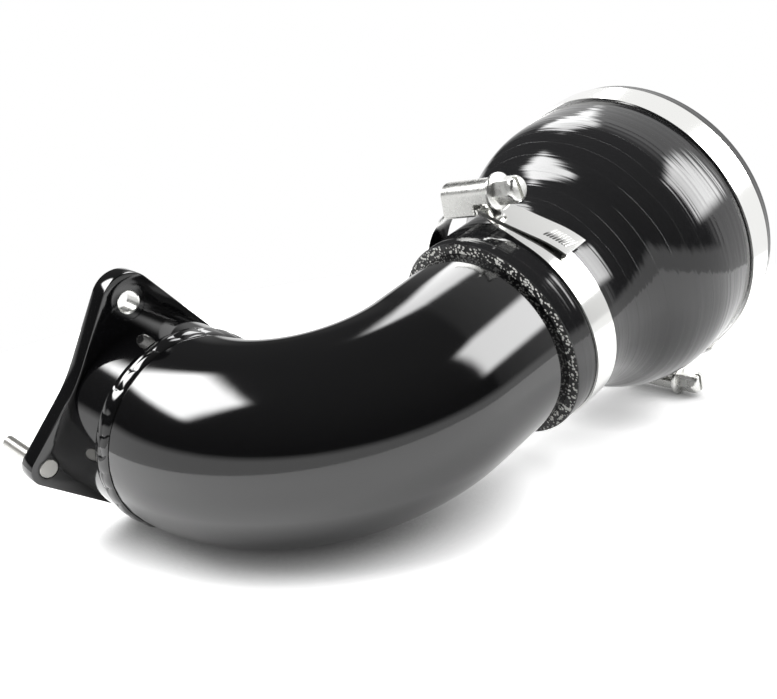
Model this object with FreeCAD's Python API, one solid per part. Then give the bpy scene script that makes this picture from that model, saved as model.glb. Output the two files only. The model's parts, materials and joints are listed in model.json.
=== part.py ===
import FreeCAD, Part
import math
import os

# Turbo inlet pipe: a flanged aluminium elbow, a silicone reducer hose and two worm-drive hose clamps.
# Millimetres. Pieces are drawn in the pipe's own frame: the origin is the centre of the flange's sealing
# face, X runs along the flange bore into the pipe, the bend lies in the XY plane and the hose points along Y.
# At the end the whole part is turned about the origin to lie as it comes to rest, with +Z up: on the heel of
# the bend and on the large clamp.

Vector = FreeCAD.Vector
Placement = FreeCAD.Placement
Rotation = FreeCAD.Rotation

# Flange: a plate with three ears and a short hub that the pipe is welded to
PLATE_T = 8.0
PLATE_RIM = 0.8
EAR_PITCH_R = 48.7
BOLT_EAR_R = 11.5
PIN_EAR_R = 6.8
TOP_EAR_DEG = 84.0
PIN_EAR_DEG = 172.0
SIDE_EAR_DEG = 318.0
EAR_BLEND_R = 60.0
PLATE_CHAMFER = 0.5
BOLT_HOLE_R = 4.2
SPOT_FACE_R = 7.0
SPOT_FACE_DEPTH = 0.3
HUB_LEN = 22.0
HUB_STEP = 0.9

# Locating pin: a stepped pin pressed into the third ear
PIN_HEAD_R = 3.9
PIN_SHANK_R = 2.5
PIN_REACH = 24.0
PIN_CHAMFER = 0.5

# Pipe: one mandrel bend and a straight end for the hose
PIPE_R = 38.1
PIPE_WALL = 2.0
BEND_R = 66.0
BEND_DEG = 90.0
STRAIGHT_LEN = 33.0
HOSE_OVERLAP = 35.0

# Weld between hub and pipe
WELD_W = 8.0
WELD_CROWN = 1.6
WELD_TOE = 0.3

# Reducer hose
HOSE_WALL = 4.5
HOSE_FIT = 0.05
HOSE_MOUTH_R = 57.15
SMALL_CUFF_LEN = 27.0
HOSE_FLARE_LEN = 50.0
LARGE_CUFF_LEN = 33.0

# Hose clamps, alike apart from the hose that they go round
BAND_T = 0.8
BAND_W = 12.0
SLOT_PLAY = 0.1
HOUSING_SHEET = 0.8
HOUSING_FOOT = 1.2
HOUSING_TAIL_X = 13.0
HOUSING_NOSE_X = 11.5
SKIRT_NOSE_X = 3.0
SKIRT_LIFT = 2.0
DOME_WALL = 1.2
SCREW_R = 4.0
SCREW_PLAY = 0.3
SCREW_TIP_X = 12.0
COLLAR_R = 7.0
COLLAR_T = 1.8
HEX_FLATS = 9.0
HEX_LEN = 9.5
DRIVE_SLOT_W = 1.5
DRIVE_SLOT_DEPTH = 2.5
HOUSING_SHIFT = 4.0
BAND_LEAD = 1.0
TAIL_LEN = 41.5

# Where each clamp sits: distance from the hose end to the band, angle round the hose from +X towards +Z, looseness of the loop, its shift towards the housing, and the housing's stand-off
SMALL_CLAMP_EDGE = 11.0
SMALL_CLAMP_DEG = 104.5
SMALL_LOOP_SLACK = 0.3
SMALL_LOOP_SHIFT = 0.2
SMALL_STAND_OFF = 6.2
LARGE_CLAMP_EDGE = 93.0
LARGE_CLAMP_DEG = 275.0
LARGE_LOOP_SLACK = 0.3
LARGE_LOOP_SHIFT = 0.0
LARGE_STAND_OFF = 9.0

# Sizes that follow from the ones above
X_AXIS = Vector(1, 0, 0)
Y_AXIS = Vector(0, 1, 0)
Z_AXIS = Vector(0, 0, 1)
BORE_R = PIPE_R - PIPE_WALL
HUB_R = PIPE_R + HUB_STEP
PLATE_R = HUB_R + PLATE_RIM
BUTT_X = PLATE_T + HUB_LEN
LEG_X = BUTT_X + BEND_R
HOSE_END_Y = BEND_R + STRAIGHT_LEN
HOSE_BORE_R = PIPE_R + HOSE_FIT
SMALL_CUFF_R = HOSE_BORE_R + HOSE_WALL
LARGE_CUFF_R = HOSE_MOUTH_R + HOSE_WALL
DOME_BORE_R = SCREW_R + SCREW_PLAY
DOME_R = DOME_BORE_R + DOME_WALL
SCREW_LIFT = 2 * BAND_T + SCREW_PLAY + SCREW_R


def polar(radius, degrees):
    """Point in the flange's plane, measured from +Y towards +Z."""
    angle = math.radians(degrees)
    return Vector(0, radius * math.cos(angle), radius * math.sin(angle))


def line(a, b):
    return Part.LineSegment(a, b).toShape()


def arc(a, b, c):
    return Part.Arc(a, b, c).toShape()


def face(edges):
    return Part.Face(Part.Wire(edges))


def ear(degrees, radius):
    """Tongue from the round plate to an ear, bounded by the two circles' common tangents."""
    spread = math.degrees(math.acos((PLATE_R - radius) / EAR_PITCH_R))
    centre = polar(EAR_PITCH_R, degrees)
    root_a = polar(PLATE_R, degrees + spread)
    root_b = polar(PLATE_R, degrees - spread)
    tip_a = centre + polar(radius, degrees + spread)
    tip_b = centre + polar(radius, degrees - spread)
    tip = centre + polar(radius, degrees)
    outline = [line(root_a, tip_a), arc(tip_a, tip, tip_b), line(tip_b, root_b), line(root_b, root_a)]
    return face(outline).extrude(X_AXIS * PLATE_T)


def inner_corners(plate):
    """Edges along X where two straight flanks of the plate meet."""
    corners = []
    for edge in plate.Edges:
        if edge.Curve.TypeId != "Part::GeomLine" or abs(edge.tangentAt(edge.FirstParameter).x) < 0.99:
            continue
        flanks = plate.ancestorsOfType(edge, Part.Face)
        if all(flank.Surface.TypeId == "Part::GeomPlane" for flank in flanks):
            corners.append(edge)
    return corners


def rim_edges(plate):
    """Edges round the two broad faces of the plate."""
    rims = []
    for side in plate.Faces:
        if side.Surface.TypeId == "Part::GeomPlane" and abs(side.normalAt(0, 0).x) > 0.99:
            rims.extend(side.OuterWire.Edges)
    return rims


def flange():
    plate = Part.makeCylinder(PLATE_R, PLATE_T, Vector(), X_AXIS)
    ears = [ear(TOP_EAR_DEG, BOLT_EAR_R), ear(PIN_EAR_DEG, PIN_EAR_R), ear(SIDE_EAR_DEG, BOLT_EAR_R)]
    plate = plate.fuse(ears).removeSplitter()
    corners = inner_corners(plate)
    if corners:
        plate = plate.makeFillet(EAR_BLEND_R, corners)
    plate = plate.makeChamfer(PLATE_CHAMFER, rim_edges(plate))
    body = plate.fuse(Part.makeCylinder(HUB_R, HUB_LEN, X_AXIS * PLATE_T, X_AXIS))
    cuts = [Part.makeCylinder(BORE_R, BUTT_X, Vector(), X_AXIS)]
    for degrees in (TOP_EAR_DEG, SIDE_EAR_DEG):
        centre = polar(EAR_PITCH_R, degrees)
        spot = centre + X_AXIS * (PLATE_T - SPOT_FACE_DEPTH)
        cuts.append(Part.makeCylinder(BOLT_HOLE_R, PLATE_T, centre, X_AXIS))
        cuts.append(Part.makeCylinder(SPOT_FACE_R, HUB_LEN, spot, X_AXIS).cut(
            Part.makeCylinder(HUB_R, BUTT_X + HUB_LEN, Vector(), X_AXIS)))
    cuts.append(Part.makeCylinder(PIN_HEAD_R, PLATE_T, polar(EAR_PITCH_R, PIN_EAR_DEG), X_AXIS))
    return body.cut(cuts)


def locating_pin():
    centre = polar(EAR_PITCH_R, PIN_EAR_DEG)
    profile = Part.makePolygon([
        Vector(-PIN_REACH, 0, 0),
        Vector(-PIN_REACH, PIN_SHANK_R - PIN_CHAMFER, 0),
        Vector(PIN_CHAMFER - PIN_REACH, PIN_SHANK_R, 0),
        Vector(0, PIN_SHANK_R, 0),
        Vector(0, PIN_HEAD_R, 0),
        Vector(PLATE_T - PIN_CHAMFER, PIN_HEAD_R, 0),
        Vector(PLATE_T, PIN_HEAD_R - PIN_CHAMFER, 0),
        Vector(PLATE_T, 0, 0),
        Vector(-PIN_REACH, 0, 0),
    ])
    pin = Part.Face(profile).revolve(Vector(), X_AXIS, 360)
    pin.translate(centre)
    return pin


def bent_rod(radius):
    """Bend and straight end of the pipe as a solid rod, in the plane z = 0."""
    disc = Part.Face(Part.Wire(Part.makeCircle(radius, X_AXIS * BUTT_X, X_AXIS)))
    bend = disc.revolve(Vector(BUTT_X, BEND_R, 0), Z_AXIS, BEND_DEG)
    straight = Part.makeCylinder(radius, STRAIGHT_LEN + HOSE_OVERLAP, Vector(LEG_X, BEND_R, 0), Y_AXIS)
    return bend.fuse(straight).removeSplitter()


def pipe():
    return bent_rod(PIPE_R).cut(bent_rod(BORE_R))


def weld_bead():
    """Crowned ring over the butt joint, clear of the bend that starts under it."""
    half = WELD_W / 2
    inside_bend = BEND_R - PIPE_R
    pipe_side_r = PIPE_R + inside_bend - math.sqrt(inside_bend ** 2 - half ** 2)
    start = Vector(BUTT_X - half, HUB_R + WELD_TOE, 0)
    crown = Vector(BUTT_X, PIPE_R + WELD_CROWN, 0)
    end = Vector(BUTT_X + half, pipe_side_r + WELD_TOE, 0)
    on_hub = Vector(start.x, HUB_R, 0)
    hub_step = Vector(BUTT_X, HUB_R, 0)
    pipe_step = Vector(BUTT_X, pipe_side_r, 0)
    on_pipe = Vector(end.x, pipe_side_r, 0)
    section = face([
        arc(start, crown, end),
        line(end, on_pipe),
        line(on_pipe, pipe_step),
        line(pipe_step, hub_step),
        line(hub_step, on_hub),
        line(on_hub, start),
    ])
    return section.revolve(Vector(), X_AXIS, 360)


def reducer_hose():
    """Wall of two tangent arcs between two straight cuffs, turned about the pipe's straight end."""
    rise = HOSE_MOUTH_R - HOSE_BORE_R
    turn = 2 * math.atan2(rise, HOSE_FLARE_LEN)
    radius = HOSE_FLARE_LEN / (2 * math.sin(turn))
    flare_start = SMALL_CUFF_LEN
    flare_end = SMALL_CUFF_LEN + HOSE_FLARE_LEN
    mouth = flare_end + LARGE_CUFF_LEN
    centre_a = Vector(HOSE_BORE_R + radius, flare_start, 0)
    centre_b = Vector(HOSE_MOUTH_R - radius, flare_end, 0)

    def on_a(bend_r, angle):
        return centre_a + Vector(-bend_r * math.cos(angle), bend_r * math.sin(angle), 0)

    def on_b(bend_r, angle):
        return centre_b + Vector(bend_r * math.cos(angle), -bend_r * math.sin(angle), 0)

    def flare(offset):
        first = arc(on_a(radius - offset, 0), on_a(radius - offset, turn / 2), on_a(radius - offset, turn))
        second = arc(on_b(radius + offset, turn), on_b(radius + offset, turn / 2), on_b(radius + offset, 0))
        return [first, second]

    inner = [line(Vector(HOSE_BORE_R, 0, 0), on_a(radius, 0))] + flare(0)
    inner.append(line(on_b(radius, 0), Vector(HOSE_MOUTH_R, mouth, 0)))
    outer = [line(Vector(SMALL_CUFF_R, 0, 0), on_a(radius - HOSE_WALL, 0))] + flare(HOSE_WALL)
    outer.append(line(on_b(radius + HOSE_WALL, 0), Vector(LARGE_CUFF_R, mouth, 0)))
    cut_end = line(Vector(HOSE_BORE_R, 0, 0), Vector(SMALL_CUFF_R, 0, 0))
    mouth_end = line(Vector(HOSE_MOUTH_R, mouth, 0), Vector(LARGE_CUFF_R, mouth, 0))
    section = Part.Face(Part.Wire(Part.__sortEdges__(inner + outer + [cut_end, mouth_end])))
    hose = section.revolve(Vector(), Y_AXIS, 360)
    hose.translate(Vector(LEG_X, HOSE_END_Y, 0))
    return hose


def loop_face(offset, hose_r, slack, shift, stand_off):
    """Area inside a clamp's loop: a circle and two tangents that rise to the flat under the housing.
    Seen along the hose, with the housing at +Z, shifted towards the screw's head at +X."""
    radius = hose_r + slack
    flat = hose_r + stand_off
    centre = Vector(0, 0, shift)

    def corner_and_touch(reach):
        height = flat - shift
        lean = math.atan2(reach, height) + math.acos(radius / math.hypot(reach, height))
        corner_x = (radius + offset - (height + offset) * math.cos(lean)) / math.sin(lean)
        touch = Vector(math.sin(lean), 0, math.cos(lean)) * (radius + offset)
        return Vector(corner_x, 0, flat + offset), touch

    nose_corner, nose_touch = corner_and_touch(HOUSING_SHIFT + SKIRT_NOSE_X + BAND_LEAD)
    tail_corner, tail_touch = corner_and_touch(HOUSING_TAIL_X + BAND_LEAD - HOUSING_SHIFT)
    tail_corner.x = -tail_corner.x
    tail_touch.x = -tail_touch.x
    bottom = centre - Z_AXIS * (radius + offset)
    return face([
        line(tail_corner, nose_corner),
        line(nose_corner, centre + nose_touch),
        arc(centre + nose_touch, bottom, centre + tail_touch),
        line(centre + tail_touch, tail_corner),
    ])


def clamp_band(hose_r, slack, shift, stand_off):
    """Closed loop of strip, and the free end lying on it past the screw's head."""
    layers = [loop_face(step * BAND_T, hose_r, slack, shift, stand_off) for step in range(3)]
    reach = 2 * (hose_r + stand_off)
    end = TAIL_LEN / (hose_r + slack)
    tail_span = Part.Face(Part.makePolygon([
        Vector(0, 0, shift),
        Vector(HOUSING_SHIFT - HOUSING_TAIL_X, 0, reach),
        Vector(reach * math.sin(end), 0, reach),
        Vector(reach * math.sin(end), 0, shift + reach * math.cos(end)),
        Vector(0, 0, shift),
    ]))
    loop = layers[1].cut(layers[0])
    tail = layers[2].cut(layers[1]).common(tail_span)
    band = loop.extrude(Y_AXIS * BAND_W).fuse(tail.extrude(Y_AXIS * BAND_W)).removeSplitter()
    band.translate(Y_AXIS * (-BAND_W / 2))
    return band.Solids[0]


def clamp_housing(hose_r, stand_off):
    """Pressed housing: a foot under the band, two flanks and a dome over the screw."""
    seat = hose_r + stand_off
    axis_z = seat + SCREW_LIFT
    foot_z = seat - HOUSING_SHEET
    slot_y = BAND_W / 2 + SLOT_PLAY
    foot_y = slot_y + HOUSING_FOOT
    length = HOUSING_TAIL_X + HOUSING_NOSE_X
    drop = axis_z - foot_z
    touch = math.acos(DOME_R / math.hypot(foot_y, drop)) - math.atan2(drop, foot_y)
    flank_y = DOME_R * math.cos(touch)
    flank_z = axis_z + DOME_R * math.sin(touch)
    back = -HOUSING_TAIL_X
    foot_a = Vector(back, foot_y, foot_z)
    foot_b = Vector(back, -foot_y, foot_z)
    side_a = Vector(back, flank_y, flank_z)
    side_b = Vector(back, -flank_y, flank_z)
    crown = Vector(back, 0, axis_z + DOME_R)
    outline = [line(foot_b, foot_a), line(foot_a, side_a), arc(side_a, crown, side_b), line(side_b, foot_b)]
    shell = face(outline).extrude(X_AXIS * length)
    band_slot = Part.makeBox(length, 2 * slot_y, 2 * BAND_T + SLOT_PLAY, Vector(back, -slot_y, seat))
    throat = Part.makeBox(length, 2 * DOME_BORE_R, SCREW_LIFT, Vector(back, -DOME_BORE_R, seat))
    tunnel = Part.makeCylinder(DOME_BORE_R, length, Vector(back, 0, axis_z), X_AXIS)
    skirt_cut = Part.makeBox(
        HOUSING_NOSE_X - SKIRT_NOSE_X,
        2 * foot_y,
        axis_z - SKIRT_LIFT - foot_z,
        Vector(SKIRT_NOSE_X, -foot_y, foot_z),
    )
    return shell.cut([band_slot, throat, tunnel, skirt_cut])


def clamp_screw(hose_r, stand_off):
    """Worm screw with a round collar and a slotted hexagon head. Its thread is left plain."""
    axis = Vector(0, 0, hose_r + stand_off + SCREW_LIFT)
    collar_x = HOUSING_NOSE_X + SCREW_PLAY
    hex_x = collar_x + COLLAR_T
    shank = Part.makeCylinder(SCREW_R, SCREW_TIP_X + collar_x, axis - X_AXIS * SCREW_TIP_X, X_AXIS)
    collar = Part.makeCylinder(COLLAR_R, COLLAR_T, axis + X_AXIS * collar_x, X_AXIS)
    corner_r = HEX_FLATS / math.sqrt(3)
    ring = [axis + X_AXIS * hex_x + polar(corner_r, 60 * step) for step in range(7)]
    head = Part.Face(Part.makePolygon(ring)).extrude(X_AXIS * HEX_LEN)
    slot = Part.makeBox(
        DRIVE_SLOT_DEPTH,
        2 * COLLAR_R,
        DRIVE_SLOT_W,
        axis + Vector(hex_x + HEX_LEN - DRIVE_SLOT_DEPTH, -COLLAR_R, -DRIVE_SLOT_W / 2),
    )
    return shank.fuse([collar, head]).removeSplitter().cut(slot)


def clamp_place(edge, degrees, below):
    """From a clamp's own frame to the pipe's. A clamp below the hose is turned end for end."""
    place = Vector(LEG_X, HOSE_END_Y + edge + BAND_W / 2, 0)
    if below:
        return Placement(place, Rotation(Y_AXIS, 270 - degrees) * Rotation(X_AXIS, 180))
    return Placement(place, Rotation(Y_AXIS, 90 - degrees))


def low_points(up):
    """How low the flange end, the heel of the bend and the large clamp reach, against a given way up."""
    turn = math.radians(LARGE_CLAMP_DEG)
    outward = Vector(math.cos(turn), 0, math.sin(turn))
    screw_way = Vector(-math.sin(turn), 0, math.cos(turn))
    screw_at = Vector(LEG_X, HOSE_END_Y + LARGE_CLAMP_EDGE + BAND_W / 2, 0)
    screw_at += outward * (LARGE_CUFF_R + LARGE_STAND_OFF + SCREW_LIFT) + screw_way * HOUSING_SHIFT
    collar_x = HOUSING_NOSE_X + SCREW_PLAY + COLLAR_T
    about_bore = math.hypot(up.y, up.z)
    about_screw = up.cross(screw_way).Length
    plate = PLATE_T * min(up.x, 0) - PLATE_R * about_bore
    weld = BUTT_X * up.x - (PIPE_R + WELD_CROWN) * about_bore
    heel = Vector(BUTT_X, BEND_R, 0).dot(up) - BEND_R * math.hypot(up.x, up.y) - PIPE_R
    dome_tail = (screw_at - screw_way * HOUSING_TAIL_X).dot(up) - DOME_R * about_screw
    collar = (screw_at + screw_way * collar_x).dot(up) - COLLAR_R * about_screw
    return min(plate, weld), heel, min(dome_tail, collar)


def halve(low, high, too_low):
    """Value between low and high where too_low turns false, by halving the span."""
    for _ in range(50):
        middle = (low + high) / 2
        if too_low(middle):
            low = middle
        else:
            high = middle
    return (low + high) / 2


def resting_up():
    """The way up, in the pipe's frame, with flange end, bend and large clamp all on the floor."""

    def up_for(fall):
        def clamp_below_heel(rise):
            _, heel, clamp = low_points(Vector(-fall, rise, 1).normalize())
            return clamp < heel

        return Vector(-fall, halve(0, 1, clamp_below_heel), 1).normalize()

    def flange_below_heel(fall):
        flange_end, heel, _ = low_points(up_for(fall))
        return flange_end < heel

    return up_for(halve(-0.3, 0.3, flange_below_heel))


def rest_place():
    """Turn about the origin that brings the resting way up to +Z and keeps the flange bore over +X."""
    up = resting_up()
    side = up.cross(X_AXIS)
    return Placement(Vector(), Rotation(side.cross(up), side, up, "ZYX").inverted())


def clamp_parts(name, hose_r, slack, shift, stand_off, edge, degrees, below):
    pieces = {
        name + "_clamp_band": clamp_band(hose_r, slack, shift, stand_off),
        name + "_clamp_housing": clamp_housing(hose_r, stand_off),
        name + "_clamp_screw": clamp_screw(hose_r, stand_off),
    }
    for part in ("_clamp_housing", "_clamp_screw"):
        pieces[name + part].translate(X_AXIS * HOUSING_SHIFT)
    place = clamp_place(edge, degrees, below)
    return {node: shape.transformed(place.toMatrix()) for node, shape in pieces.items()}


nodes = {
    "flange": flange(),
    "locating_pin": locating_pin(),
    "pipe": pipe(),
    "weld_bead": weld_bead(),
    "reducer_hose": reducer_hose(),
}
nodes.update(clamp_parts("small", SMALL_CUFF_R, SMALL_LOOP_SLACK, SMALL_LOOP_SHIFT, SMALL_STAND_OFF,
                         SMALL_CLAMP_EDGE, SMALL_CLAMP_DEG, False))
nodes.update(clamp_parts("large", LARGE_CUFF_R, LARGE_LOOP_SLACK, LARGE_LOOP_SHIFT, LARGE_STAND_OFF,
                         LARGE_CLAMP_EDGE, LARGE_CLAMP_DEG, True))
rest = rest_place().toMatrix()

os.makedirs("parts", exist_ok=True)
for node, shape in nodes.items():
    shape.transformed(rest).exportStep(os.path.join("parts", node + ".step"))
print("up in the pipe's frame:", resting_up())
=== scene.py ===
import json
import math
import random

import bmesh
import bpy
from mathutils import Matrix, Vector, noise


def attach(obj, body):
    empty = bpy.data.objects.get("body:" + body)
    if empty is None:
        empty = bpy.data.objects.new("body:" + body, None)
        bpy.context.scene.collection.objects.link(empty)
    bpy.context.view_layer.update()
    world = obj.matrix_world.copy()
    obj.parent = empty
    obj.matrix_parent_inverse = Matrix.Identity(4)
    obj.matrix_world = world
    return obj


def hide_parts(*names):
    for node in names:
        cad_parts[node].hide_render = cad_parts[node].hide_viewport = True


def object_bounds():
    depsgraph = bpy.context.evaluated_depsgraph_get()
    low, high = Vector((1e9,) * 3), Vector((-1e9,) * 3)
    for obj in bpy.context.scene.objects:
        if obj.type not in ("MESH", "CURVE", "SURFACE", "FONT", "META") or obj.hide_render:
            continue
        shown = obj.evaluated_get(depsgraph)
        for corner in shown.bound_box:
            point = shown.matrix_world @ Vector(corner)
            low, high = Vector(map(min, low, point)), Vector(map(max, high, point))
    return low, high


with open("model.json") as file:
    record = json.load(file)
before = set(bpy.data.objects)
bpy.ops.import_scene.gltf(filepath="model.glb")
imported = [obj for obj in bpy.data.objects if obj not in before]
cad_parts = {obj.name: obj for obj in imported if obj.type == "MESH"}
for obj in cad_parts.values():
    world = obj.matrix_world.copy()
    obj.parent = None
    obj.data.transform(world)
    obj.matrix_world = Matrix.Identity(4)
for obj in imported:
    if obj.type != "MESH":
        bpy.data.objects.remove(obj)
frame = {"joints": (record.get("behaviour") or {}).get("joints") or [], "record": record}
cad_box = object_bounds()


# Flange
# Machined aluminium plate with three ears and a turned hub, sealed against the turbo's inlet. Two ears are
# bored for bolts and spot-faced, the third takes a pin, and the whole is coated gloss black with the pipe.
PLATE_T = 8.0
PLATE_R = 39.8
HUB_R = 39.0
BORE_R = 36.1
BUTT_X = 30.0
BOLT_EAR_R = 11.5
PIN_EAR_R = 6.8
EAR_BLEND_R = 60.0
BOLT_R = 4.2
LEAD_IN = 0.4
SPOT_R = 7.0
SPOT_DEPTH = 0.3
PIN_R = 3.9
EDGE_BEVEL = 0.5
ROUND_MIDDLE = 0.3
EDGE_ROUND = ROUND_MIDDLE * EDGE_BEVEL
COAT_PEEL = 6.0
COAT_HAZE = 20.0
DRILL_MARKS = 0.8
ROUND_STEPS = 128
HOLE_STEPS = 48
ARC_STEP = math.radians(3)
MERGE = 0.0005
NEAR = 0.01


def mm(point):
    """Point of the frame, which is in metres, in millimetres, as the sizes of the pieces are."""
    return Vector(point) * 1000


mounts = {mount["name"]: mount for mount in frame["record"]["mounts"]}
bore_way = -Vector(mounts["flange_bore"]["axis"])
hose_way = Vector(mounts["hose_mouth"]["axis"])
# From the pipe's own frame, with the flange bore along X and the hose along Y, to the part at rest
rest = Matrix((bore_way, hose_way, bore_way.cross(hose_way))).transposed().to_4x4()
bolt_top, bolt_side, pin_at = (rest.inverted() @ mm(mounts[name]["pos_m"])
                               for name in ("bolt_hole_top", "bolt_hole_side", "locating_pin"))


def linear(code):
    """sRGB hex to linear RGBA."""
    levels = [int(code[i:i + 2], 16) / 255 for i in (1, 3, 5)]
    return [v / 12.92 if v <= 0.04045 else ((v + 0.055) / 1.055) ** 2.4 for v in levels] + [1.0]


def plug(tree, node, inputs):
    """Links a node's inputs to other nodes' sockets, or sets their values."""
    for key, value in inputs.items():
        if isinstance(value, bpy.types.NodeSocket):
            tree.links.new(value, node.inputs[key])
        else:
            node.inputs[key].default_value = value


def add(tree, kind, inputs, **settings):
    """New node with its settings and its inputs."""
    made = tree.nodes.new(kind)
    for key, value in settings.items():
        setattr(made, key, value)
    plug(tree, made, inputs)
    return made


def material(name):
    made = bpy.data.materials.new(name)
    made.use_nodes = True
    tree = made.node_tree
    place = add(tree, "ShaderNodeTexCoord", {}).outputs["Object"]
    return made, tree, tree.nodes["Principled BSDF"], place


def gloss_black_coat():
    # Deep black with a hard mirror gloss: the eye sees only lights, floor and a trace of orange peel
    made, tree, shader, place = material("gloss_black_coat")
    peel = add(tree, "ShaderNodeTexNoise", {"Vector": place, "Scale": 1000 / COAT_PEEL, "Detail": 1.0})
    haze = add(tree, "ShaderNodeTexNoise", {"Vector": place, "Scale": 1000 / COAT_HAZE, "Detail": 3.0})
    rough = add(tree, "ShaderNodeMapRange", {"Value": haze.outputs[0], "To Min": 0.05, "To Max": 0.1})
    bump = add(tree, "ShaderNodeBump", {"Height": peel.outputs[0], "Strength": 0.03, "Distance": 0.0003})
    plug(tree, shader, {"Base Color": linear("#070708"), "IOR": 1.7})
    plug(tree, shader, {"Roughness": rough.outputs[0], "Normal": bump.outputs[0]})
    return made


def bored_aluminium():
    # Bare bright metal left where the drill went through the coat, its marks drawn coarse enough to show
    made, tree, shader, place = material("bored_aluminium")
    marks = add(tree, "ShaderNodeTexNoise", {"Vector": place, "Scale": 1000 / DRILL_MARKS, "Detail": 2.0})
    rough = add(tree, "ShaderNodeMapRange", {"Value": marks.outputs[0], "To Min": 0.2, "To Max": 0.4})
    plug(tree, shader, {"Base Color": linear("#d9d9d6"), "Metallic": 1.0, "Roughness": rough.outputs[0]})
    return made


def unique(items):
    return list(dict.fromkeys(items))


def circle(bm, centre, radius, steps):
    """Circle of edges square to the flange's axis."""
    place = Matrix.Translation(centre) @ Matrix.Rotation(math.pi / 2, 4, "Y")
    made = bmesh.ops.create_circle(bm, radius=radius, segments=steps, matrix=place)
    return unique(edge for vert in made["verts"] for edge in vert.link_edges)


def polyline(bm, points, closed=False):
    verts = [bm.verts.new(point) for point in points]
    pairs = list(zip(verts, verts[1:] + verts[:1]))
    return [bm.edges.new(pair) for pair in (pairs if closed else pairs[:-1])]


def turn(bm, points, centre, axis, steps, closed=False):
    """Profile turned a full round about an axis."""
    edges = polyline(bm, points, closed)
    verts = unique(vert for edge in edges for vert in edge.verts)
    bmesh.ops.spin(bm, geom=verts + edges, cent=centre, axis=axis, angle=2 * math.pi, steps=steps,
                   use_merge=True)


def polar(centre, radius, angle, x=0.0):
    return Vector((x, centre.y + radius * math.cos(angle), centre.z + radius * math.sin(angle)))


def sweep(centre, radius, start, end, x):
    count = max(2, math.ceil(abs(end - start) / ARC_STEP))
    return [polar(centre, radius, start + (end - start) * i / count, x) for i in range(count + 1)]


def plate_outline(x, inset):
    """Ears joined to the round plate by tangent flanks, with a hollow blend where two flanks cross."""
    axis = Vector((0, 0, 0))
    ears = [Vector((0, ear.y, ear.z)) for ear in (bolt_top, pin_at, bolt_side)]
    radii = (BOLT_EAR_R, PIN_EAR_R, BOLT_EAR_R)
    angles = [math.atan2(ear.z, ear.y) for ear in ears]
    leans = [math.acos((PLATE_R - radius) / ear.length) for ear, radius in zip(ears, radii)]
    points = []
    for i, ear in enumerate(ears):
        after = (i + 1) % len(ears)
        here, ahead = angles[i], angles[after]
        while ahead < here:
            ahead += 2 * math.pi
        points += sweep(ear, radii[i] - inset, here - leans[i], here + leans[i], x)
        start, end = here + leans[i], ahead - leans[after]
        if start > end:
            reach = (PLATE_R + EAR_BLEND_R) / math.cos((start - end) / 2)
            blend = polar(axis, reach, (start + end) / 2)
            points += sweep(blend, EAR_BLEND_R + inset, start + math.pi, end + math.pi, x)
        else:
            points += sweep(axis, PLATE_R - inset, start, end, x)
    return points


def piece(name, bm, materials, body, node, sharp=35):
    """Closes the mesh, brings it to metres and hands it over in place of its plain solid."""
    bmesh.ops.remove_doubles(bm, verts=bm.verts, dist=MERGE)
    bmesh.ops.recalc_face_normals(bm, faces=bm.faces)
    bmesh.ops.transform(bm, matrix=Matrix.Scale(0.001, 4) @ rest, verts=bm.verts)
    mesh = bpy.data.meshes.new(name)
    bm.to_mesh(mesh)
    bm.free()
    for made in materials:
        mesh.materials.append(made)
    mesh.shade_smooth()
    mesh.set_sharp_from_angle(angle=math.radians(sharp))
    obj = bpy.data.objects.new(name, mesh)
    bpy.context.scene.collection.objects.link(obj)
    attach(obj, body)
    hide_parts(node)


def flange_mesh():
    bm = bmesh.new()
    near = [(0, EDGE_BEVEL), (EDGE_ROUND, EDGE_ROUND), (EDGE_BEVEL, 0)]
    far = [(PLATE_T - x, inset) for x, inset in near[::-1]]
    rims = [polyline(bm, plate_outline(x, inset), closed=True) for x, inset in near + far]
    for rim, after in zip(rims, rims[1:]):
        bmesh.ops.bridge_loops(bm, edges=rim + after)
    for rim, x, middle_r, bolt_r in ((rims[0], 0, BORE_R, BOLT_R), (rims[-1], PLATE_T, HUB_R, SPOT_R)):
        edges = rim + circle(bm, (x, 0, 0), middle_r, ROUND_STEPS)
        edges += circle(bm, (x, pin_at.y, pin_at.z), PIN_R, HOLE_STEPS)
        for bolt in (bolt_top, bolt_side):
            edges += circle(bm, (x, bolt.y, bolt.z), bolt_r, HOLE_STEPS)
        bmesh.ops.triangle_fill(bm, edges=edges, use_beauty=True, normal=(1, 0, 0))
    hub = [(PLATE_T, HUB_R, 0), (BUTT_X, HUB_R, 0), (BUTT_X, BORE_R, 0), (0, BORE_R, 0)]
    turn(bm, hub, (0, 0, 0), (1, 0, 0), ROUND_STEPS)
    floor_x = PLATE_T - SPOT_DEPTH
    hole = [(PLATE_T, SPOT_R), (floor_x, SPOT_R), (floor_x, BOLT_R + LEAD_IN), (floor_x - LEAD_IN, BOLT_R),
            (0, BOLT_R)]
    for bolt in (bolt_top, bolt_side):
        turn(bm, [(x, bolt.y + r, bolt.z) for x, r in hole], bolt, (1, 0, 0), HOLE_STEPS)
    turn(bm, [(x, pin_at.y + PIN_R, pin_at.z) for x in (PLATE_T, 0)], pin_at, (1, 0, 0), HOLE_STEPS)
    for side in bm.faces:
        middle = side.calc_center_median()
        inside = NEAR < middle.x < floor_x - NEAR
        for bolt in (bolt_top, bolt_side):
            if inside and math.hypot(middle.y - bolt.y, middle.z - bolt.z) < BOLT_R + LEAD_IN:
                side.material_index = 1
    return bm


BLACK = gloss_black_coat()
piece("coated_flange", flange_mesh(), [BLACK, bored_aluminium()], "pipe_assembly", "flange")


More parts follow.
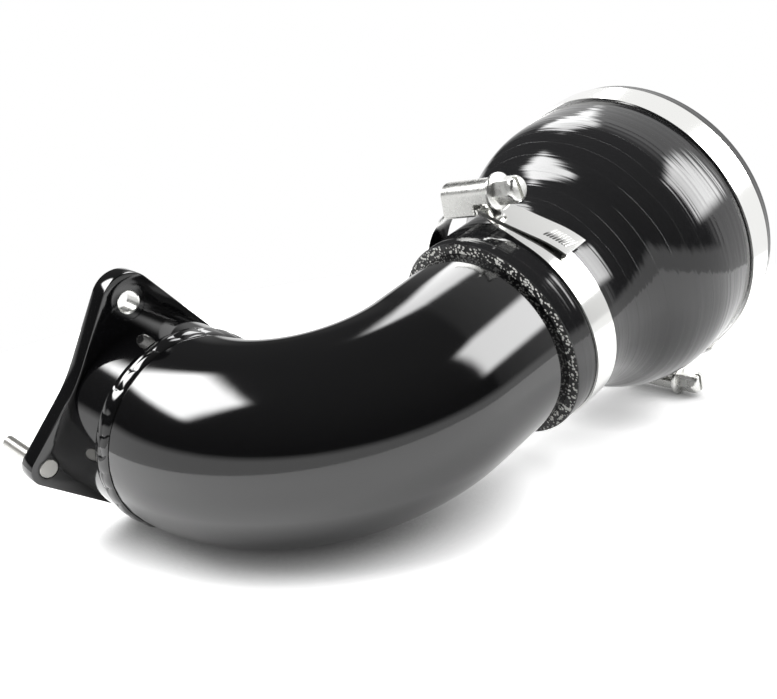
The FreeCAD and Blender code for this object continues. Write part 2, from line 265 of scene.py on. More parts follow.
# Locating pin
# Turned steel pin pressed into the third ear, its thick end flush with the plate's outer face.
# Its thin end stands out behind the sealing face and finds a hole in the turbo's housing.
PIN_SHANK_R = 2.5
PIN_REACH = 24.0
PIN_CHAMFER = 0.5
PIN_FIT = 0.02
LATHE_MARKS = 0.5


def turned_steel():
    # Bright lathe-turned steel: a soft mirror along the shank, its tool marks drawn coarse enough to show
    made, tree, shader, place = material("turned_steel")
    marks = add(tree, "ShaderNodeTexNoise", {"Vector": place, "Scale": 1000 / LATHE_MARKS, "Detail": 2.0})
    rough = add(tree, "ShaderNodeMapRange", {"Value": marks.outputs[0], "To Min": 0.28, "To Max": 0.42})
    plug(tree, shader, {"Base Color": linear("#b9b8b4"), "Metallic": 1.0, "Roughness": rough.outputs[0]})
    return made


def pin_mesh():
    bm = bmesh.new()
    shank = [(-PIN_REACH, 0), (-PIN_REACH, PIN_SHANK_R - PIN_CHAMFER), (PIN_CHAMFER - PIN_REACH, PIN_SHANK_R),
             (0, PIN_SHANK_R)]
    head = [(0, PIN_R - PIN_FIT), (PLATE_T - PIN_CHAMFER, PIN_R - PIN_FIT), (PLATE_T, PIN_R - PIN_CHAMFER),
            (PLATE_T, 0)]
    turn(bm, [(x, pin_at.y + r, pin_at.z) for x, r in shank + head], pin_at, (1, 0, 0), HOLE_STEPS)
    return bm


piece("turned_pin", pin_mesh(), [turned_steel()], "pipe_assembly", "locating_pin")


# Pipe
# Three-inch aluminium tube, bent through a right angle on a mandrel, coated gloss black inside and out.
# Its straight end goes 35 mm into the hose, and the whole bend lies tilted as the part rests.
PIPE_WALL = 2.0
PIPE_R = BORE_R + PIPE_WALL
BEND_R = 66.0
BEND_STEPS = 72
LEG_X = BUTT_X + BEND_R
LEG_LEN = 68.0


def pick(items, kind):
    return [item for item in items if isinstance(item, kind)]


def draw_out(bm, edges, way):
    """Draws edges out into faces along a way, and gives the edges at the far end."""
    made = bmesh.ops.extrude_edge_only(bm, edges=edges)["geom"]
    verts = pick(made, bmesh.types.BMVert)
    bmesh.ops.translate(bm, vec=way, verts=verts)
    return [edge for edge in pick(made, bmesh.types.BMEdge) if set(verts).issuperset(edge.verts)]


def pipe_mesh():
    bm = bmesh.new()
    starts = []
    ends = []
    for radius in (PIPE_R, BORE_R):
        start = circle(bm, (BUTT_X, 0, 0), radius, ROUND_STEPS)
        verts = unique(vert for edge in start for vert in edge.verts)
        bent = bmesh.ops.spin(bm, geom=verts + start, cent=(BUTT_X, BEND_R, 0), axis=(0, 0, 1),
                              angle=math.pi / 2, steps=BEND_STEPS)
        starts += start
        ends += draw_out(bm, pick(bent["geom_last"], bmesh.types.BMEdge), (0, LEG_LEN, 0))
    bmesh.ops.bridge_loops(bm, edges=starts)
    bmesh.ops.bridge_loops(bm, edges=ends)
    return bm


piece("bent_pipe", pipe_mesh(), [BLACK], "pipe_assembly", "pipe")


# Weld
# Hand-run bead round the butt joint of hub and pipe, laid in overlapping ripples and coated over.
# The ripples are short where the torch moved slowly, low down, and longer over the top.
WELD_HALF = 3.6
WELD_CROWN = 1.5
WELD_SEAT = 0.6
WELD_ROWS = 16
WELD_STEPS = 720
TOE_SINK = 0.15
TOE_SPREAD = 0.25
RIPPLE_SEED = 4
RIPPLE_LEN = 9.5
RIPPLE_SHORTER = 4.5
RIPPLE_UNEVEN = 1.4
RIPPLE_LEAST = 0.75
RIPPLE_MOST = 1.1
RIPPLE_DRIFT = 0.25
RIPPLE_BOW = 0.05
RIPPLE_VALLEY = 0.55
RIPPLE_FULLNESS = 0.8
RIPPLE_FROM = 0.12
RIPPLE_TO = 0.97
WAVE = 0.03
WAVES_PER_MM = 0.3


def ripple_starts(rng):
    starts = []
    angle = 0.0
    while angle < 2 * math.pi:
        starts.append(angle)
        low = 0.5 - 0.5 * math.sin(angle)
        angle += (RIPPLE_LEN - RIPPLE_SHORTER * low + rng.uniform(-RIPPLE_UNEVEN, RIPPLE_UNEVEN)) / HUB_R
    return starts


def weld_mesh():
    bm = bmesh.new()
    rng = random.Random(RIPPLE_SEED)
    shares = [2 * i / WELD_ROWS - 1 for i in range(WELD_ROWS + 1)]
    seat = [(BUTT_X + WELD_HALF * t, HUB_R - WELD_SEAT, 0) for t in shares]
    turn(bm, seat, (0, 0, 0), (1, 0, 0), WELD_STEPS)
    starts = ripple_starts(rng)
    heights = [rng.uniform(RIPPLE_LEAST, RIPPLE_MOST) for _ in starts]
    drifts = [rng.uniform(-RIPPLE_DRIFT, RIPPLE_DRIFT) for _ in starts]
    spans = [after - start for start, after in zip(starts, starts[1:] + [2 * math.pi])]
    for vert in bm.verts:
        t = (vert.co.x - BUTT_X) / WELD_HALF
        around = (math.atan2(vert.co.z, vert.co.y) + RIPPLE_BOW * t * t) % (2 * math.pi)
        i = max(k for k, start in enumerate(starts) if start <= around)
        phase = RIPPLE_FROM + (RIPPLE_TO - RIPPLE_FROM) * (around - starts[i]) / spans[i]
        lump = RIPPLE_VALLEY + (1 - RIPPLE_VALLEY) * math.sin(math.pi * phase) ** RIPPLE_FULLNESS
        crown = math.sqrt(max(0.0, 1 - (t + drifts[i] * (1 - t * t)) ** 2))
        wave = 1 + WAVE * noise.noise(vert.co * WAVES_PER_MM)
        toe = (HUB_R if t < 0 else PIPE_R + TOE_SPREAD * t) - TOE_SINK
        rise = (PIPE_R + WELD_CROWN + TOE_SINK - toe) * crown * lump * heights[i] * wave
        scale = (toe + rise) / math.hypot(vert.co.y, vert.co.z)
        vert.co.y *= scale
        vert.co.z *= scale
    return bm


piece("weld_ripples", weld_mesh(), [BLACK], "pipe_assembly", "weld_bead", sharp=60)


# Reducer hose
# Black silicone rubber laid up over fabric plies, wrapped in tape and cured, which leaves fine rings.
# It is cut square at both ends and grips the pipe by its small cuff.
HOSE_WALL = 4.5
HOSE_BORE_R = 38.15
HOSE_MOUTH_R = 57.15
HOSE_OVERLAP = 35.0
HOSE_Y = BEND_R + LEG_LEN - HOSE_OVERLAP
SMALL_CUFF = 27.0
FLARE = 50.0
LARGE_CUFF = 33.0
FLARE_STEPS = 24
CUT_ROUND = 0.5
TAPE_RING = 2.2
TAPE_TURN = 5.5
TAPE_WANDER = 30.0
WANDER_REACH = 2.0
RING_HEIGHT = 0.09
GROOVE_SHARE = 0.07
GROOVE_DEPTH = 0.25
THREAD_END = 1.3
THREAD_PATCH = 2.0


def wrapped_silicone():
    # Glossy black rubber: the tape's rings shear each reflection into teeth, with a thin line at every turn
    made, tree, shader, place = material("wrapped_silicone")
    along = add(tree, "ShaderNodeVectorMath", {0: place, 1: hose_way}, operation="DOT_PRODUCT")
    wander = add(tree, "ShaderNodeTexNoise", {"Vector": place, "Scale": 1000 / TAPE_WANDER, "Detail": 1.0})
    shifted = add(tree, "ShaderNodeMath", {0: wander.outputs[0], 1: WANDER_REACH / 1000},
                  operation="MULTIPLY_ADD")
    plug(tree, shifted, {2: along.outputs["Value"]})
    rings = add(tree, "ShaderNodeTexNoise", {}, noise_dimensions="1D")
    plug(tree, rings, {"W": shifted.outputs[0], "Scale": 1000 / TAPE_RING, "Detail": 2.0, "Roughness": 0.35})
    turns = add(tree, "ShaderNodeMath", {0: shifted.outputs[0], 1: TAPE_TURN / 1000}, operation="DIVIDE")
    share = add(tree, "ShaderNodeMath", {0: turns.outputs[0]}, operation="FRACT")
    groove = add(tree, "ShaderNodeMapRange", {"Value": share.outputs[0], "From Max": GROOVE_SHARE})
    plug(tree, groove, {"To Min": -GROOVE_DEPTH, "To Max": 0.0})
    height = add(tree, "ShaderNodeMath", {0: rings.outputs[0], 1: groove.outputs[0]}, operation="ADD")
    bump = add(tree, "ShaderNodeBump", {"Height": height.outputs[0], "Distance": RING_HEIGHT / 1000})
    rough = add(tree, "ShaderNodeMapRange", {"Value": rings.outputs[0], "To Min": 0.06, "To Max": 0.12})
    plug(tree, shader, {"Base Color": linear("#1c1c1d"), "IOR": 1.6})
    plug(tree, shader, {"Roughness": rough.outputs[0], "Normal": bump.outputs[0]})
    return made


def cut_plies():
    # Knife-cut end: black rubber thickly speckled with the white ends of the fabric's threads
    made, tree, shader, place = material("cut_plies")
    threads = add(tree, "ShaderNodeTexVoronoi", {"Vector": place, "Scale": 1000 / THREAD_END})
    patches = add(tree, "ShaderNodeTexNoise", {"Vector": place, "Scale": 1000 / THREAD_PATCH, "Detail": 1.0})
    spots = add(tree, "ShaderNodeMath", {0: patches.outputs[0], 1: threads.outputs["Distance"]},
                operation="SUBTRACT")
    tone = add(tree, "ShaderNodeValToRGB", {0: spots.outputs[0]})
    rubber, thread = tone.color_ramp.elements
    rubber.position = 0.08
    rubber.color = linear("#121213")
    thread.position = 0.2
    thread.color = linear("#d4d4d0")
    bump = add(tree, "ShaderNodeBump", {"Height": spots.outputs[0], "Strength": 0.6, "Distance": 0.0004})
    plug(tree, shader, {"Base Color": tone.outputs[0], "Roughness": 0.5, "Normal": bump.outputs[0]})
    return made


def flare_wall(offset):
    """Flare of two equal arcs, offset outwards from the bore, as radius and place along the hose."""
    bend = 2 * math.atan2(HOSE_MOUTH_R - HOSE_BORE_R, FLARE)
    radius = FLARE / (2 * math.sin(bend))
    angles = [bend * i / FLARE_STEPS for i in range(FLARE_STEPS + 1)]
    hollow = radius - offset
    crown = radius + offset
    points = []
    for a in angles:
        points.append((HOSE_BORE_R + radius - hollow * math.cos(a), SMALL_CUFF + hollow * math.sin(a)))
    for a in angles[::-1]:
        points.append((HOSE_MOUTH_R - radius + crown * math.cos(a), SMALL_CUFF + FLARE - crown * math.sin(a)))
    return points


def hose_mesh():
    bm = bmesh.new()
    length = SMALL_CUFF + FLARE + LARGE_CUFF
    small_r = HOSE_BORE_R + HOSE_WALL
    large_r = HOSE_MOUTH_R + HOSE_WALL
    corner = [(CUT_ROUND, 0), (ROUND_MIDDLE * CUT_ROUND, ROUND_MIDDLE * CUT_ROUND), (0, CUT_ROUND)]
    inner = [(HOSE_BORE_R, 0)] + flare_wall(0) + [(HOSE_MOUTH_R, length)]
    outer = [(small_r - inset, along) for inset, along in corner] + flare_wall(HOSE_WALL)
    outer += [(large_r - inset, length - along) for inset, along in corner[::-1]]
    section = [(LEG_X + r, HOSE_Y + along, 0) for r, along in inner + outer[::-1]]
    turn(bm, section, (LEG_X, 0, 0), (0, 1, 0), ROUND_STEPS, closed=True)
    for side in bm.faces:
        along = side.calc_center_median().y - HOSE_Y
        if along < NEAR or along > length - NEAR:
            side.material_index = 1
    return bm


piece("silicone_reducer", hose_mesh(), [wrapped_silicone(), cut_plies()], "pipe_assembly",
      "reducer_hose")


# Small hose clamp
# Worm-drive clamp of stainless strip, run loosely round the hose's small cuff, with its tail past the screw.
# A pressed housing holds the worm screw, which has a round collar and a slotted hexagon head.
SMALL_R = HOSE_BORE_R + HOSE_WALL
SMALL_OFF = 6.2
SMALL_SAG = 0.2
SMALL_SKEW = 7.0
BAND_T = 0.8
BAND_W = 12.0
BAND_SLACK = 0.3
BAND_BOW = 2.0
FLAT_SPARE = 1.0
RUN_STEPS = 8
LOOP_STEPS = 180
TAIL_LEN = 41.5
TAIL_LIFT = 1.5
MARKS = 8
MARK_LEN = 7.0
MARK_W = 0.9
MARK_SINK = 0.1
MARK_RISE = 0.12
MARK_SLANT = 1.6
MARK_CREST = 0.75
SHEET_T = 0.8
TAIL_X = 13.0
NOSE_X = 11.5
SKIRT_X = 3.0
HOUSING_SHIFT = 4.0
DOME_R = 5.5
DOME_STEPS = 12
SKIRT_CUT = 2.0
FOOT_Y = 7.3
FOOT_ROUND = 1.0
FOOT_IN = 0.3
FOOT_UP = 0.25
SCREW_R = 4.0
SCREW_GAP = 0.3
SCREW_LIFT = 2 * BAND_T + SCREW_GAP + SCREW_R
SCREW_TIP_X = 12.0
SCREW_STEPS = 48
WORM_DEPTH = 0.9
WORM_ROOT_W = 1.8
WORM_CREST_W = 0.6
WORM_SINK = 0.1
WORM_START = 0.2
WORM_PITCH = 3.2
WORM_TURNS = 5.5
WORM_STEPS = 24
COLLAR_X = 11.8
COLLAR_R = 7.0
COLLAR_T = 1.8
COLLAR_BACK = 0.3
COLLAR_FRONT = 0.4
COLLAR_FACE = 0.6
HEX_FLATS = 9.0
HEX_LEN = 9.5
# Rounding of the screw's end: how far back each ring lies, and its share of the hexagon's corner radius
HEX_END = ((HEX_LEN, 1.0), (2.2, 1.0), (1.3, 0.95), (0.6, 0.88), (0.2, 0.8), (0.0, 0.7))
SLOT_W = 1.5
SLOT_DEPTH = 2.5
GRAIN_LEN = 20.0
GRAIN_W = 0.2
SATIN = 3.0
joints = {joint["name"]: joint for joint in frame["joints"]}


def stainless_strip():
    # Rolled stainless strip: a cool bright mirror drawn out along the band by the mill's grain, which is
    # drawn coarser than it is so that it shows
    made, tree, shader, _ = material("stainless_strip")
    uv = add(tree, "ShaderNodeUVMap", {}).outputs["UV"]
    grain = add(tree, "ShaderNodeMapping", {"Vector": uv, "Scale": (1000 / GRAIN_LEN, 1000 / GRAIN_W, 1)})
    lines = add(tree, "ShaderNodeTexNoise", {"Vector": grain.outputs[0], "Scale": 1.0, "Detail": 2.0})
    rough = add(tree, "ShaderNodeMapRange", {"Value": lines.outputs[0], "To Min": 0.06, "To Max": 0.16})
    bump = add(tree, "ShaderNodeBump", {"Height": lines.outputs[0], "Strength": 0.06, "Distance": 0.0001})
    plug(tree, shader, {"Base Color": linear("#f0f0ee"), "Metallic": 1.0})
    plug(tree, shader, {"Roughness": rough.outputs[0], "Normal": bump.outputs[0]})
    return made


def pressed_stainless():
    # Press-formed stainless sheet and turned screw: bright, slightly satin, with softened bends
    made, tree, shader, place = material("pressed_stainless")
    satin = add(tree, "ShaderNodeTexNoise", {"Vector": place, "Scale": 1000 / SATIN, "Detail": 2.0})
    rough = add(tree, "ShaderNodeMapRange", {"Value": satin.outputs[0], "To Min": 0.2, "To Max": 0.34})
    bump = add(tree, "ShaderNodeBump", {"Height": satin.outputs[0], "Strength": 0.02, "Distance": 0.0001})
    plug(tree, shader, {"Base Color": linear("#e2e2df"), "Metallic": 1.0})
    plug(tree, shader, {"Roughness": rough.outputs[0], "Normal": bump.outputs[0]})
    return made


def clamp_frame(joint, side, hose_r, stand_off):
    """Clamp's own frame: x along the screw to its head, y along the hose, z out through the housing."""
    x = (rest.inverted() @ Vector(joint["axis"])).normalized()
    y = Vector((0, side, 0))
    z = x.cross(y)
    origin = rest.inverted() @ mm(joint["pos_m"]) - z * (hose_r + stand_off + SCREW_LIFT)
    return Matrix.Translation(origin) @ Matrix((x, y, z)).transposed().to_4x4()


def loop_points(offset, hose_r, stand_off, sag):
    """Loop seen along the hose: a round and two tangents that rise to the flat under the housing."""
    radius = hose_r + BAND_SLACK
    height = hose_r + stand_off - sag
    leans = []
    corners = []
    for reach in (HOUSING_SHIFT + SKIRT_X + FLAT_SPARE, TAIL_X + FLAT_SPARE - HOUSING_SHIFT):
        lean = math.atan2(reach, height) + math.acos(radius / math.hypot(reach, height))
        leans.append(lean)
        corners.append((radius + offset - (height + offset) * math.cos(lean)) / math.sin(lean))
    nose = Vector((corners[0], hose_r + stand_off + offset))
    tail = Vector((-corners[1], hose_r + stand_off + offset))
    span = 2 * math.pi - sum(leans)
    angles = [leans[0] + span * i / LOOP_STEPS for i in range(LOOP_STEPS + 1)]
    centre = Vector((0, sag))
    arc = [centre + (radius + offset) * Vector((math.sin(angle), math.cos(angle))) for angle in angles]
    outward = (tail - arc[-1]).orthogonal().normalized()
    shares = [i / RUN_STEPS for i in range(1, RUN_STEPS)]
    flat = [tail] + [tail.lerp(nose, share) for share in shares] + [nose]
    down = [nose.lerp(arc[0], share) for share in shares]
    up = [arc[-1].lerp(tail, share) + outward * BAND_BOW * math.sin(math.pi * share) for share in shares]
    return flat + down + arc + up


def strip(bm, points, shifts, closed):
    """Strip of band through the points, BAND_T thick outwards, with each point shifted along the hose."""
    uv = bm.loops.layers.uv.verify()
    rim = polyline(bm, [(p.x, shift - BAND_W / 2, p.y) for p, shift in zip(points, shifts)], closed)
    near = unique(vert for edge in rim for vert in edge.verts)
    draw_out(bm, rim, (0, BAND_W, 0))
    runs = [0.0]
    for point, after in zip(points, points[1:]):
        runs.append(runs[-1] + (after - point).length)
    places = {}
    for vert, run in zip(near, runs):
        across = next(edge for edge in vert.link_edges if edge not in rim)
        places[vert] = Vector((run, 0))
        places[across.other_vert(vert)] = Vector((run, BAND_W))
    faces = unique(face for edge in rim for face in edge.link_faces)
    for face in faces:
        closing = closed and max(places[vert].x for vert in face.verts) == places[near[-1]].x
        for loop in face.loops:
            run, width = places[loop.vert]
            if closing and run == 0:
                run = runs[-1] + (points[0] - points[-1]).length
            loop[uv].uv = (run / 1000, width / 1000)
    bm.normal_update()
    bmesh.ops.recalc_face_normals(bm, faces=faces)
    if faces[0].normal.z < 0:
        bmesh.ops.reverse_faces(bm, faces=faces)
    bmesh.ops.solidify(bm, geom=faces, thickness=-BAND_T)


def thread_marks(bm, points, shifts):
    """Short slanting ridges pressed into the tail near its end, where the worm takes hold."""
    for i in range(len(points) - 2 - MARKS, len(points) - 2):
        along = (points[i + 1] - points[i]).normalized()
        outward = Vector((-along.y, along.x))
        corners = []
        for y in (-MARK_LEN / 2, MARK_LEN / 2):
            lean = MARK_SLANT * y / MARK_LEN
            for x in (-MARK_W / 2, MARK_W / 2):
                foot = points[i] + along * (x + lean) + outward * (BAND_T - MARK_SINK)
                crest = points[i] + along * (x / 2 + lean) + outward * (BAND_T + MARK_RISE)
                corners.append(bm.verts.new((foot.x, y + shifts[i], foot.y)))
                corners.append(bm.verts.new((crest.x, MARK_CREST * y + shifts[i], crest.y)))
        bmesh.ops.convex_hull(bm, input=corners)


def band_mesh(place, hose_r, stand_off, sag, skew):
    bm = bmesh.new()
    loop = loop_points(0, hose_r, stand_off, sag)
    strip(bm, loop, [0.0] * len(loop), True)
    outer = loop_points(BAND_T, hose_r, stand_off, sag)
    reach = TAIL_LEN / (hose_r + BAND_SLACK)
    lap = [p for p in outer[:len(outer) // 2] if p.x > HOUSING_SHIFT - TAIL_X]
    tail = [p for p in lap if math.atan2(p.x, p.y - sag) < reach]
    clear = HOUSING_SHIFT + SKIRT_X
    shares = [max(0.0, (p.x - clear) / (tail[-1].x - clear)) for p in tail]
    tail = [p + p.normalized() * TAIL_LIFT * share ** 2 for p, share in zip(tail, shares)]
    shifts = [skew * share for share in shares]
    strip(bm, tail, shifts, False)
    thread_marks(bm, tail, shifts)
    bmesh.ops.transform(bm, matrix=place, verts=bm.verts)
    return bm


def housing_section(axis_z, foot_z, cut_z):
    """Half of the housing seen along the screw: flat foot, leaning side and round dome."""
    drop = axis_z - foot_z
    touch = math.acos(DOME_R / math.hypot(FOOT_Y, drop)) - math.atan2(drop, FOOT_Y)
    side_y = DOME_R * math.cos(touch)
    side_z = axis_z + DOME_R * math.sin(touch)
    cut_y = FOOT_Y + (side_y - FOOT_Y) * (cut_z - foot_z) / (side_z - foot_z)
    half = [(0, foot_z), (FOOT_Y - FOOT_ROUND, foot_z), (FOOT_Y - FOOT_IN, foot_z + FOOT_UP),
            (FOOT_Y, foot_z + FOOT_ROUND), (cut_y, cut_z)]
    for i in range(DOME_STEPS + 1):
        angle = touch + (math.pi / 2 - touch) * i / DOME_STEPS
        half.append((DOME_R * math.cos(angle), axis_z + DOME_R * math.sin(angle)))
    return half


def housing_mesh(place, hose_r, stand_off):
    bm = bmesh.new()
    axis_z = hose_r + stand_off + SCREW_LIFT
    cut_z = axis_z - SKIRT_CUT
    half = housing_section(axis_z, hose_r + stand_off - BAND_T, cut_z)
    ring = half + [(-y, z) for y, z in half[-2:0:-1]]
    rim = polyline(bm, [(-TAIL_X, y, z) for y, z in ring], closed=True)
    middle = draw_out(bm, rim, (TAIL_X + SKIRT_X, 0, 0))
    upper = [edge for edge in middle if min(vert.co.z for vert in edge.verts) > cut_z - NEAR]
    draw_out(bm, upper, (NOSE_X - SKIRT_X, 0, 0))
    bm.normal_update()
    bmesh.ops.recalc_face_normals(bm, faces=bm.faces)
    if max(bm.faces, key=lambda face: face.calc_center_median().z).normal.z < 0:
        bmesh.ops.reverse_faces(bm, faces=bm.faces)
    bmesh.ops.solidify(bm, geom=bm.faces[:], thickness=SHEET_T)
    bmesh.ops.transform(bm, matrix=place @ Matrix.Translation((HOUSING_SHIFT, 0, 0)), verts=bm.verts)
    return bm


def head_mesh(hex_x, z):
    """Hexagon with a rounded end and a slot across it."""
    bm = bmesh.new()
    end_x = hex_x + HEX_LEN
    floor_x = end_x - SLOT_DEPTH
    sides = (-SLOT_W / 2, SLOT_W / 2)
    rings = []
    for back, share in HEX_END:
        points = []
        for i in range(SCREW_STEPS):
            angle = 2 * math.pi * i / SCREW_STEPS
            flat = HEX_FLATS / 2 / math.cos((angle + math.pi / 6) % (math.pi / 3) - math.pi / 6)
            reach = min(flat, share * HEX_FLATS / math.sqrt(3))
            points.append((end_x - back, reach * math.sin(angle), z + reach * math.cos(angle)))
        rings.append(polyline(bm, points, closed=True))
    for ring, after in zip(rings, rings[1:]):
        bmesh.ops.bridge_loops(bm, edges=ring + after)
    bmesh.ops.contextual_create(bm, geom=rings[0])
    bmesh.ops.contextual_create(bm, geom=rings[-1])
    cuts = [((0, level, z), (0, 1, 0)) for level in sides] + [((floor_x, 0, z), (1, 0, 0))]
    for at, way in cuts:
        whole = bm.verts[:] + bm.edges[:] + bm.faces[:]
        bmesh.ops.bisect_plane(bm, geom=whole, dist=MERGE, plane_co=at, plane_no=way)
    middles = {side: side.calc_center_median() for side in bm.faces}
    slot = [side for side, middle in middles.items() if middle.x > floor_x and abs(middle.y) < SLOT_W / 2]
    bmesh.ops.delete(bm, geom=slot, context="FACES")
    open_edges = [edge for edge in bm.edges if edge.is_boundary]
    bottom = [edge for edge in open_edges if all(abs(vert.co.x - floor_x) < NEAR for vert in edge.verts)]
    for level in sides:
        wall = [edge for edge in open_edges if all(abs(vert.co.y - level) < NEAR for vert in edge.verts)]
        foot = unique(vert for edge in wall for vert in edge.verts if abs(vert.co.x - floor_x) < NEAR)
        wall.append(bm.edges.new(foot))
        bottom.append(wall[-1])
        bmesh.ops.contextual_create(bm, geom=wall)
    bmesh.ops.contextual_create(bm, geom=bottom)
    return bm


def screw_mesh(place, hose_r, stand_off):
    z = hose_r + stand_off + SCREW_LIFT
    hex_x = COLLAR_X + COLLAR_T
    core = SCREW_R - WORM_DEPTH
    bm = head_mesh(hex_x, z)
    shank = [(-SCREW_TIP_X, 0), (-SCREW_TIP_X, core), (COLLAR_X, core)]
    collar = [(COLLAR_X, COLLAR_R - COLLAR_BACK), (COLLAR_X + COLLAR_BACK, COLLAR_R),
              (hex_x - COLLAR_FRONT, COLLAR_R), (hex_x, COLLAR_R - COLLAR_FACE), (hex_x, 0)]
    turn(bm, [(x, 0, z + r) for x, r in shank + collar], (0, 0, z), (1, 0, 0), SCREW_STEPS)
    middle_x = WORM_START + WORM_ROOT_W / 2 - SCREW_TIP_X
    root_z = z + core - WORM_SINK
    crest_z = z + SCREW_R
    worm = polyline(bm, [(middle_x - WORM_ROOT_W / 2, 0, root_z), (middle_x - WORM_CREST_W / 2, 0, crest_z),
                         (middle_x + WORM_CREST_W / 2, 0, crest_z), (middle_x + WORM_ROOT_W / 2, 0, root_z)],
                    closed=True)
    verts = unique(vert for edge in worm for vert in edge.verts)
    bmesh.ops.contextual_create(bm, geom=worm)
    wound = bmesh.ops.spin(bm, geom=verts + worm, cent=(0, 0, z), axis=(1, 0, 0),
                           angle=2 * math.pi * WORM_TURNS, steps=round(WORM_STEPS * WORM_TURNS),
                           dvec=(WORM_PITCH / WORM_STEPS, 0, 0))
    bmesh.ops.contextual_create(bm, geom=pick(wound["geom_last"], bmesh.types.BMEdge))
    bmesh.ops.transform(bm, matrix=place @ Matrix.Translation((HOUSING_SHIFT, 0, 0)), verts=bm.verts)
    return bm


STRIP = stainless_strip()
PRESSED = pressed_stainless()


def clamp(size, side, hose_r, stand_off, sag, skew):
    """Band, housing and screw of one clamp; side says which way its own y points along the hose."""
    place = clamp_frame(joints[size + "_screw_turn"], side, hose_r, stand_off)
    band = band_mesh(place, hose_r, stand_off, sag, skew)
    housing = housing_mesh(place, hose_r, stand_off)
    screw = screw_mesh(place, hose_r, stand_off)
    piece(size + "_band_strip", band, [STRIP], "pipe_assembly", size + "_clamp_band")
    piece(size + "_pressed_housing", housing, [PRESSED], "pipe_assembly",
          size + "_clamp_housing")
    piece(size + "_worm_screw", screw, [PRESSED], size + "_screw", size + "_clamp_screw")


clamp("small", 1, SMALL_R, SMALL_OFF, SMALL_SAG, SMALL_SKEW)


# Large hose clamp
# The same clamp on a longer strip, slack on the hose's large cuff, turned with its housing to the floor.
# The part rests on the collar of this clamp's screw, on the heel of the bend and on the weld.
LARGE_R = HOSE_MOUTH_R + HOSE_WALL
LARGE_OFF = 9.0
LARGE_SAG = 0.0
LARGE_SKEW = 0.0
clamp("large", -1, LARGE_R, LARGE_OFF, LARGE_SAG, LARGE_SKEW)


# Floor
# Round sheet of white studio paper under the part. It runs out into the white of the page, so only the
# part's own soft shadow and a painted contact shade are left of it. From here on sizes are in metres, but for
# the paper's fibre.
PAPER_AT = (0.08, 0.08)
PAPER_R = 0.36
PAPER_STEPS = 96
PAPER_FIBRE = 4.0
PAGE_GLOW = 0.6
CONTACT_REACH = 0.02


def studio_paper():
    # Matt white paper that runs out into the white page; its colour and its glow carry painted shade, darker
    # where the part all but touches it
    made, tree, shader, place = material("studio_paper")
    fibre = add(tree, "ShaderNodeTexNoise", {"Vector": place, "Scale": 1000 / PAPER_FIBRE, "Detail": 2.0})
    rough = add(tree, "ShaderNodeMapRange", {"Value": fibre.outputs[0], "To Min": 0.85, "To Max": 0.95})
    # Painted contact shade: ambient occlusion darkens the paper's colour where the part all but touches it
    painted_contact_shade = add(tree, "ShaderNodeAmbientOcclusion", {"Color": linear("#efefef"), "Distance": CONTACT_REACH},
              samples=8)
    path = add(tree, "ShaderNodeLightPath", {})
    seen = add(tree, "ShaderNodeMath", {0: path.outputs["Is Camera Ray"], 1: path.outputs["Is Glossy Ray"]},
               operation="MAXIMUM")
    # The glow that makes the page white is dimmed by the same painted contact shade, for the camera and for
    # reflections
    page = add(tree, "ShaderNodeMath", {0: seen.outputs[0], 1: painted_contact_shade.outputs["AO"]}, operation="MULTIPLY")
    own = add(tree, "ShaderNodeMath", {0: page.outputs[0], 1: PAGE_GLOW}, operation="MULTIPLY")
    plug(tree, shader, {"Base Color": painted_contact_shade.outputs["Color"], "Roughness": rough.outputs[0]})
    plug(tree, shader, {"Specular IOR Level": 0.0, "Emission Color": (1, 1, 1, 1)})
    plug(tree, shader, {"Emission Strength": own.outputs[0]})
    return made


bm = bmesh.new()
under = Matrix.Translation((*PAPER_AT, cad_box[0].z))
bmesh.ops.create_circle(bm, cap_ends=True, radius=PAPER_R, segments=PAPER_STEPS, matrix=under)
mesh = bpy.data.meshes.new("studio_floor")
bm.to_mesh(mesh)
bm.free()
mesh.materials.append(studio_paper())
floor = bpy.data.objects.new("studio_floor", mesh)
bpy.context.scene.collection.objects.link(floor)


# Lights
# Three softboxes with faded edges, high on the left, lower on the right and behind, in a dim room. Mirrors
# see a pale backdrop and a pale floor up to a slanting edge, and the camera sees the white page.
LIT_POINT = Vector((0.07, 0.06, 0.0))
LIGHT_AWAY = 1.1
FADE_FROM = 0.3
FADE_TO = 0.5
ROOM_UP = (0.0558, 0.0824, 0.995)
# Sine of the height above the slanting edge, and the brightness there
ROOM_TONES = ((0.0, 1.0), (0.1, 0.04), (0.95, 0.12))
BACKDROP_WAY = (0.034, 0.965, 0.259)
BACKDROP_FAR = 0.52
BACKDROP_NEAR = 0.76


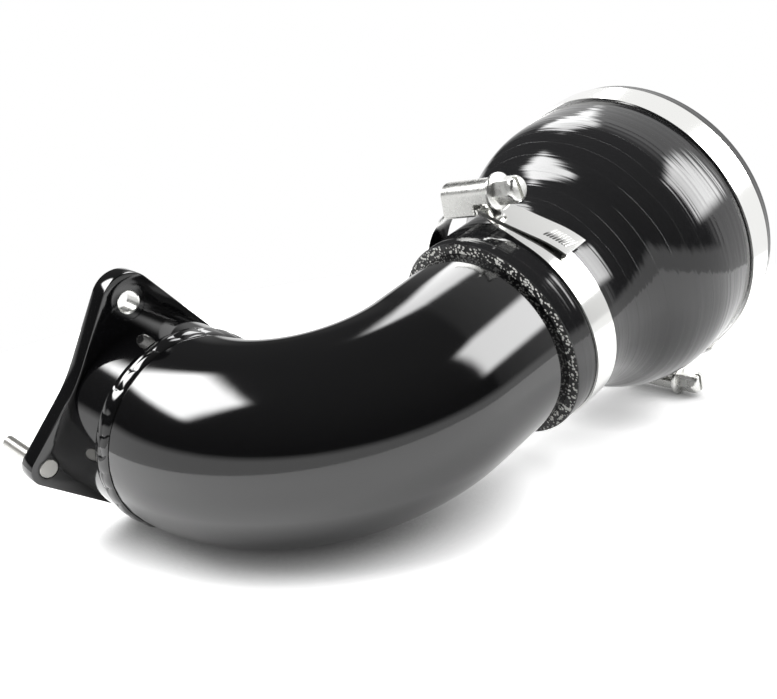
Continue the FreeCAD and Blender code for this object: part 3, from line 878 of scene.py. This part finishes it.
def softbox(name, azimuth, elevation, wide, tall, radiance):
    a = math.radians(azimuth)
    e = math.radians(elevation)
    away = Vector((math.cos(e) * math.cos(a), math.cos(e) * math.sin(a), math.sin(e)))
    light = bpy.data.lights.new(name, "AREA")
    light.shape = "RECTANGLE"
    light.size = wide
    light.size_y = tall
    light.energy = radiance * math.pi * wide * tall
    light.use_nodes = True
    tree = light.node_tree
    cloth = add(tree, "ShaderNodeNewGeometry", {}).outputs["Parametric"]
    middle = add(tree, "ShaderNodeVectorMath", {0: cloth, 1: (0.5, 0.5, 0.0)}, operation="SUBTRACT")
    reach = add(tree, "ShaderNodeVectorMath", {0: middle.outputs[0]}, operation="ABSOLUTE")
    sides = add(tree, "ShaderNodeSeparateXYZ", {0: reach.outputs[0]})
    fades = []
    for side in ("X", "Y"):
        fade = add(tree, "ShaderNodeMapRange", {"Value": sides.outputs[side]},
                   interpolation_type="SMOOTHSTEP")
        plug(tree, fade, {"From Min": FADE_FROM, "From Max": FADE_TO, "To Min": 1.0, "To Max": 0.0})
        fades.append(fade.outputs[0])
    both = add(tree, "ShaderNodeMath", {0: fades[0], 1: fades[1]}, operation="MULTIPLY")
    plug(tree, tree.nodes["Emission"], {"Strength": both.outputs[0]})
    obj = bpy.data.objects.new(name, light)
    bpy.context.scene.collection.objects.link(obj)
    obj.location = LIT_POINT + away * LIGHT_AWAY
    obj.rotation_euler = away.to_track_quat("Z", "Y").to_euler()


softbox("softbox_left", azimuth=-135, elevation=48, wide=0.98, tall=0.6, radiance=14)
softbox("softbox_right", azimuth=40, elevation=32, wide=0.7, tall=0.74, radiance=9)
softbox("softbox_back", azimuth=131, elevation=47, wide=0.44, tall=0.6, radiance=6.5)

world = bpy.data.worlds.new("studio_room")
bpy.context.scene.world = world
world.use_nodes = True
tree = world.node_tree
way = add(tree, "ShaderNodeTexCoord", {}).outputs["Generated"]
path = add(tree, "ShaderNodeLightPath", {})
height = add(tree, "ShaderNodeVectorMath", {0: way, 1: ROOM_UP}, operation="DOT_PRODUCT")
walls = add(tree, "ShaderNodeValToRGB", {0: height.outputs["Value"]})
tones = walls.color_ramp.elements
tones.new(0.5)
for tone, (sine, level) in zip(tones, ROOM_TONES):
    tone.position = sine
    tone.color = (level, level, level, 1)
close = add(tree, "ShaderNodeVectorMath", {0: way, 1: BACKDROP_WAY}, operation="DOT_PRODUCT")
patch = add(tree, "ShaderNodeMapRange", {"Value": close.outputs["Value"]}, interpolation_type="SMOOTHSTEP")
plug(tree, patch, {"From Min": BACKDROP_FAR, "From Max": BACKDROP_NEAR})
backdrop = add(tree, "ShaderNodeMath", {0: patch.outputs[0], 1: path.outputs["Is Glossy Ray"]},
               operation="MULTIPLY")
lit = add(tree, "ShaderNodeVectorMath", {0: walls.outputs["Color"], 1: backdrop.outputs[0]},
          operation="MAXIMUM")
room = tree.nodes["Background"]
plug(tree, room, {"Color": lit.outputs[0]})
page = add(tree, "ShaderNodeBackground", {"Color": (1, 1, 1, 1)})
seen = add(tree, "ShaderNodeMixShader", {0: path.outputs["Is Camera Ray"]})
plug(tree, seen, {1: room.outputs[0], 2: page.outputs[0]})
plug(tree, tree.nodes["World Output"], {"Surface": seen.outputs[0]})


# Camera
# The photo's own view, found from the round openings and the flange's ears: from the front right and a little
# above, rolled to the side because the part lies a little differently here.
EYE_AT = (0.34236, -0.18786, 0.13863)
VIEW_AZIMUTH = math.radians(-43.304)
VIEW_ELEVATION = math.radians(18.331)
VIEW_ROLL = math.radians(-5.914)
camera = bpy.data.cameras.new("photo_camera")
camera.sensor_width = 36.0
camera.lens = 46.47
camera.clip_start = 0.01
camera.clip_end = 50.0
eye = bpy.data.objects.new("photo_camera", camera)
bpy.context.scene.collection.objects.link(eye)
swing = Matrix.Rotation(VIEW_AZIMUTH + math.pi / 2, 4, "Z")
tilt = Matrix.Rotation(math.pi / 2 - VIEW_ELEVATION, 4, "X")
eye.matrix_world = Matrix.Translation(EYE_AT) @ swing @ tilt @ Matrix.Rotation(VIEW_ROLL, 4, "Z")
bpy.context.scene.camera = eye
bpy.context.scene.view_settings.view_transform = "Standard"
